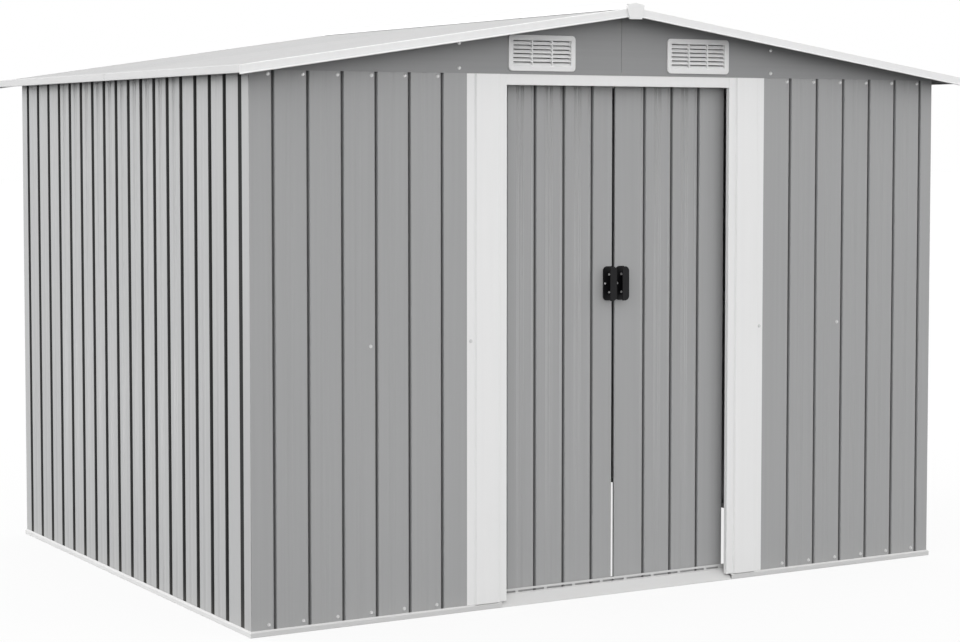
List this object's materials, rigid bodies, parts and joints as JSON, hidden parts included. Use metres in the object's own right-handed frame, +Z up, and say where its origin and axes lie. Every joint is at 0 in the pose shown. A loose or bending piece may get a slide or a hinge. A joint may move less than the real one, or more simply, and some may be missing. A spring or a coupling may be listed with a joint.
{
  "type": "metal storage shed",
  "caption": "Garden shed of grooved sheet metal with a low gabled roof, louvred gable vents and a pair of sliding doors behind the front wall.",
  "frame": {"origin": "centre of the footprint on the ground", "axes": "+X to the right along the front, the front with its doors faces -Y, +Z up"},
  "size_m": [2.57, 2.05, 1.788],
  "materials": {
    "grey_sheet": "satin grey paint on steel sheet",
    "white_trim": "satin white paint on steel sheet",
    "roof_sheet": "satin pale grey paint on steel sheet",
    "bare_zinc": "zinc coated steel",
    "vent_plastic": "white moulded plastic",
    "black_plastic": "black moulded plastic"
  },
  "bodies": {
    "shed": {"back_gable_left": "grey_sheet", "back_gable_right": "grey_sheet", "back_vents": "vent_plastic", "back_verge_trims": "white_trim", "back_wall_left": "grey_sheet", "back_wall_right": "grey_sheet", "base_rail_back": "white_trim", "base_rail_front_left": "white_trim", "base_rail_front_right": "white_trim", "base_rail_left": "white_trim", "base_rail_right": "white_trim", "corner_panel_back_left": "grey_sheet", "corner_panel_back_right": "grey_sheet", "corner_panel_front_left": "grey_sheet", "corner_panel_front_right": "grey_sheet", "door_header": "white_trim", "door_jamb_left": "white_trim", "door_jamb_right": "white_trim", "door_threshold": "white_trim", "door_track": "bare_zinc", "eave_trim_left": "white_trim", "eave_trim_right": "white_trim", "front_gable_left": "grey_sheet", "front_gable_right": "grey_sheet", "front_vents": "vent_plastic", "front_verge_trims": "white_trim", "front_wall_left": "grey_sheet", "front_wall_right": "grey_sheet", "left_wall": "grey_sheet", "ridge_cap": "white_trim", "ridge_end_caps": "white_trim", "right_wall": "grey_sheet", "roof_beams": "bare_zinc", "roof_sheet_left_back": "roof_sheet", "roof_sheet_left_front": "roof_sheet", "roof_sheet_right_back": "roof_sheet", "roof_sheet_right_front": "roof_sheet", "top_rails": "bare_zinc", "wall_braces": "bare_zinc"},
    "left_door": {"door_handle_left": "black_plastic", "door_hangers_left": "bare_zinc", "door_leaf_left": "grey_sheet"},
    "right_door": {"door_handle_right": "black_plastic", "door_hangers_right": "bare_zinc", "door_leaf_right": "grey_sheet"}
  },
  "joints": [
    {"name": "left_door_slide", "type": "slide", "parent": "shed", "child": "left_door", "axis": [-1, 0, 0], "range_m": [0, 0.355]},
    {"name": "right_door_slide", "type": "slide", "parent": "shed", "child": "right_door", "axis": [1, 0, 0], "range_m": [0, 0.355]}
  ]
}
